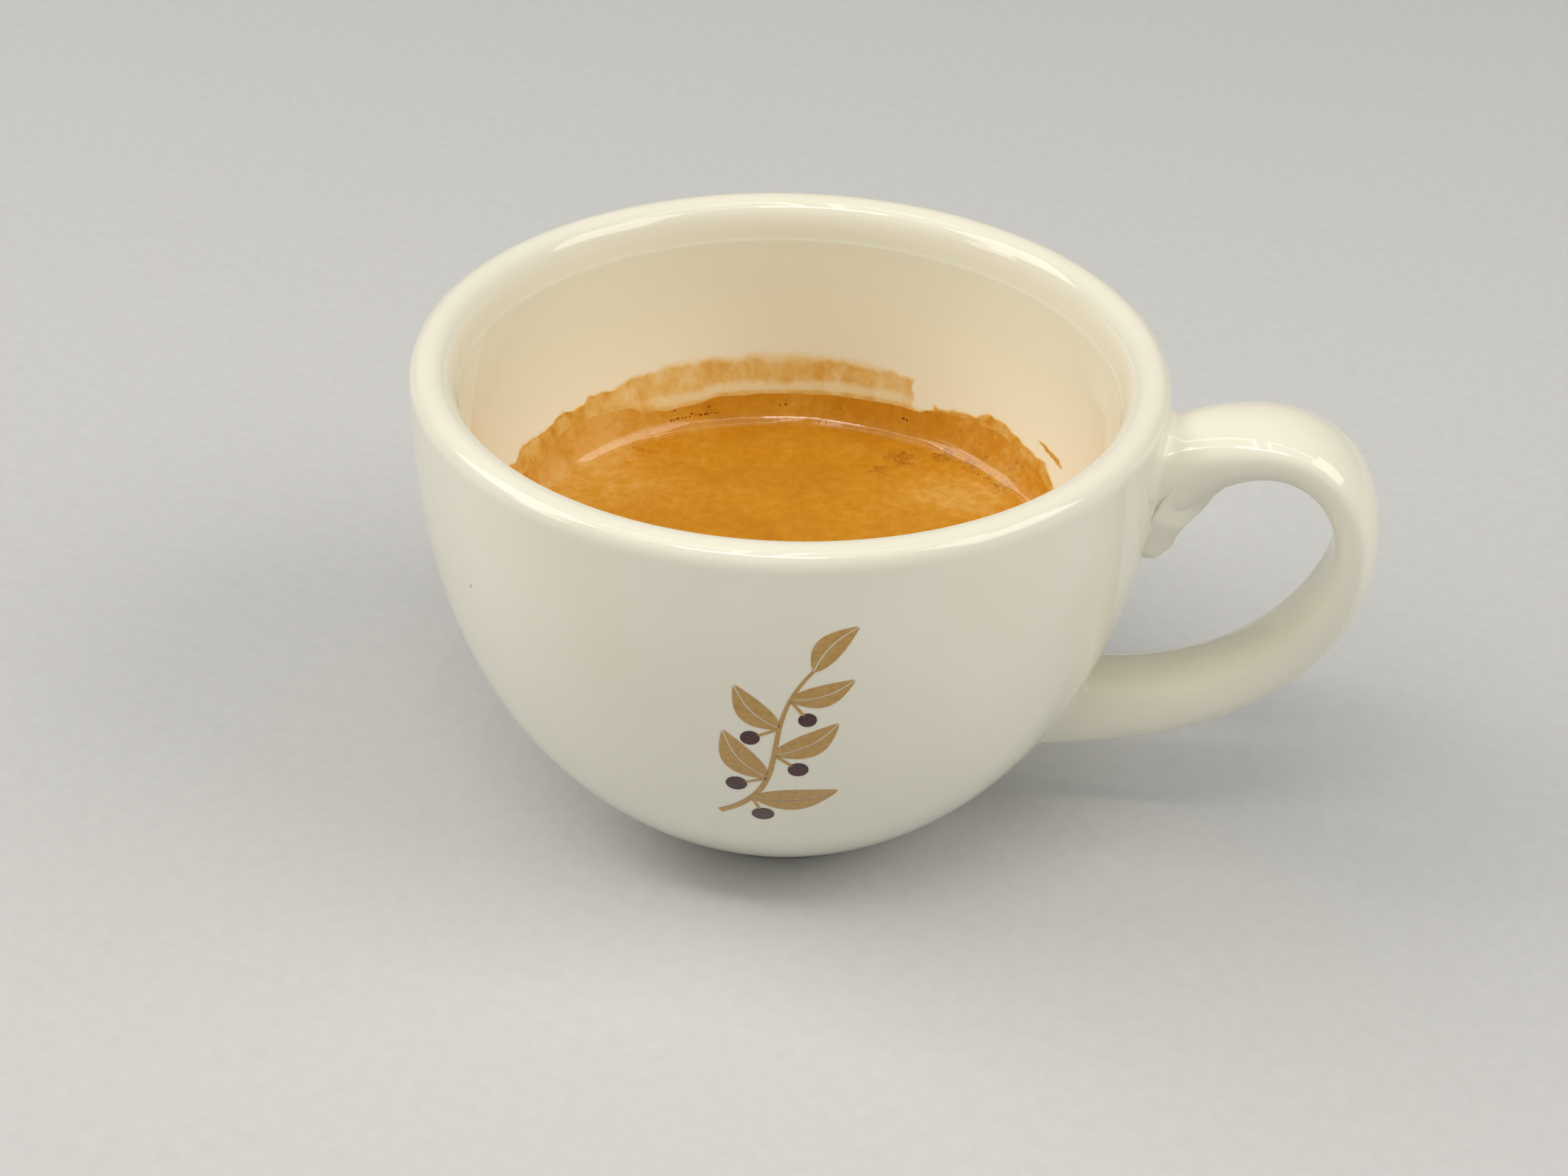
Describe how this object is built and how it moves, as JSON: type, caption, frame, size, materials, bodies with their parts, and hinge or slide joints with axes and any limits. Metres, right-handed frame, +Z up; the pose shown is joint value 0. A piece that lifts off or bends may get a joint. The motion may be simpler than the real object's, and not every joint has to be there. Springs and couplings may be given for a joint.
{
  "type": "cup of espresso",
  "caption": "Short espresso with golden-brown crema in a thick-walled ivory glazed cup with a rounded bowl, small foot ring and ear handle.",
  "frame": {"origin": "middle of the base of the whole object's box, on the surface that the cup stands on; the cup's own axis is at x = -9.55 mm", "axes": "+Z up along the cup's axis; +X towards the handle; Y across the handle, the object being alike on both sides"},
  "size_m": [0.0852, 0.066, 0.046],
  "materials": {
    "glazed_porcelain": "warm ivory porcelain under a clear glossy glaze",
    "espresso_crema": "wet golden-brown coffee foam, softly glossy"
  },
  "bodies": {
    "root": {"cup": "glazed_porcelain", "espresso": "espresso_crema"}
  },
  "joints": []
}
